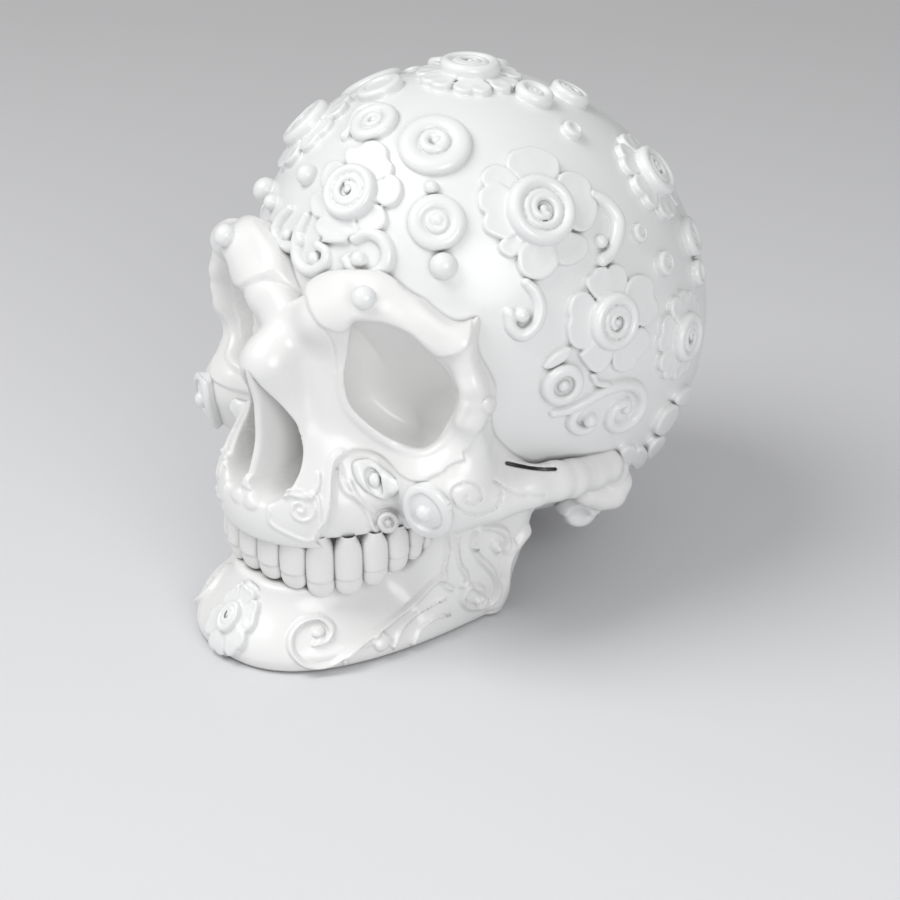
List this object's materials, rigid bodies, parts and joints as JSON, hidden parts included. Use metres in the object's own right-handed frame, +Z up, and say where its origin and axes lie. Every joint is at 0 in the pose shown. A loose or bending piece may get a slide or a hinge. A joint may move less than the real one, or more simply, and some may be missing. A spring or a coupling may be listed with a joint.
{
  "type": "sugar skull",
  "caption": "Life-size white glazed ceramic sugar skull with flowers, spirals, scrolls and beads in relief over cranium, face and jaw.",
  "frame": {"origin": "under the middle of the bounding box, on the plane of the mandible's flat lower border", "axes": "+Z up, -Y the way the face looks, +X the skull's left side"},
  "size_m": [0.154, 0.201, 0.1772],
  "materials": {
    "white_glaze": "glossy white glaze, slightly cool",
    "warm_white_glaze": "glossy white glaze, slightly warm",
    "tooth_glaze": "glossy glaze over smooth teeth"
  },
  "bodies": {
    "root": {"cranium_shell": "white_glaze", "face_plate": "warm_white_glaze", "mandible": "warm_white_glaze", "upper_teeth": "tooth_glaze", "lower_teeth": "tooth_glaze", "cheek_arch_left": "warm_white_glaze", "cheek_arch_right": "warm_white_glaze", "mastoid_knob_left": "white_glaze", "mastoid_knob_right": "white_glaze", "forehead_flower_petals": "white_glaze", "forehead_flower_rose": "white_glaze", "side_flower_petals": "white_glaze", "side_flower_rose": "white_glaze", "far_flower_petals": "white_glaze", "far_flower_rose": "white_glaze", "low_flower_petals_left": "white_glaze", "low_flower_petals_right": "white_glaze", "low_flower_rose_left": "white_glaze", "low_flower_rose_right": "white_glaze", "rear_flower_petals_left": "white_glaze", "rear_flower_petals_right": "white_glaze", "rear_flower_rose_left": "white_glaze", "rear_flower_rose_right": "white_glaze", "back_flower_petals_left": "white_glaze", "back_flower_petals_right": "white_glaze", "back_flower_rose_left": "white_glaze", "back_flower_rose_right": "white_glaze", "top_flower_petals": "white_glaze", "top_flower_rose": "white_glaze", "chin_flower_petals": "white_glaze", "chin_flower_rose": "white_glaze", "upper_disc_left": "white_glaze", "upper_disc_right": "white_glaze", "lower_disc_left": "white_glaze", "lower_disc_right": "white_glaze", "front_disc": "white_glaze", "edge_disc": "white_glaze", "crown_puck_left": "white_glaze", "crown_puck_right": "white_glaze", "ear_cup_left": "white_glaze", "ear_cup_right": "white_glaze", "cheek_rosette_left": "white_glaze", "cheek_rosette_right": "white_glaze", "cheek_cup_left": "white_glaze", "cheek_cup_right": "white_glaze", "round_bead_left": "white_glaze", "round_bead_right": "white_glaze", "brow_bead_left": "white_glaze", "brow_bead_right": "white_glaze", "rear_stud_left": "white_glaze", "rear_stud_right": "white_glaze", "hook_scroll_left": "white_glaze", "hook_scroll_right": "white_glaze", "ear_scroll_left": "white_glaze", "ear_scroll_right": "white_glaze", "ramus_scroll_left": "white_glaze", "ramus_scroll_right": "white_glaze", "chin_scroll_left": "white_glaze", "chin_scroll_right": "white_glaze"}
  },
  "joints": []
}
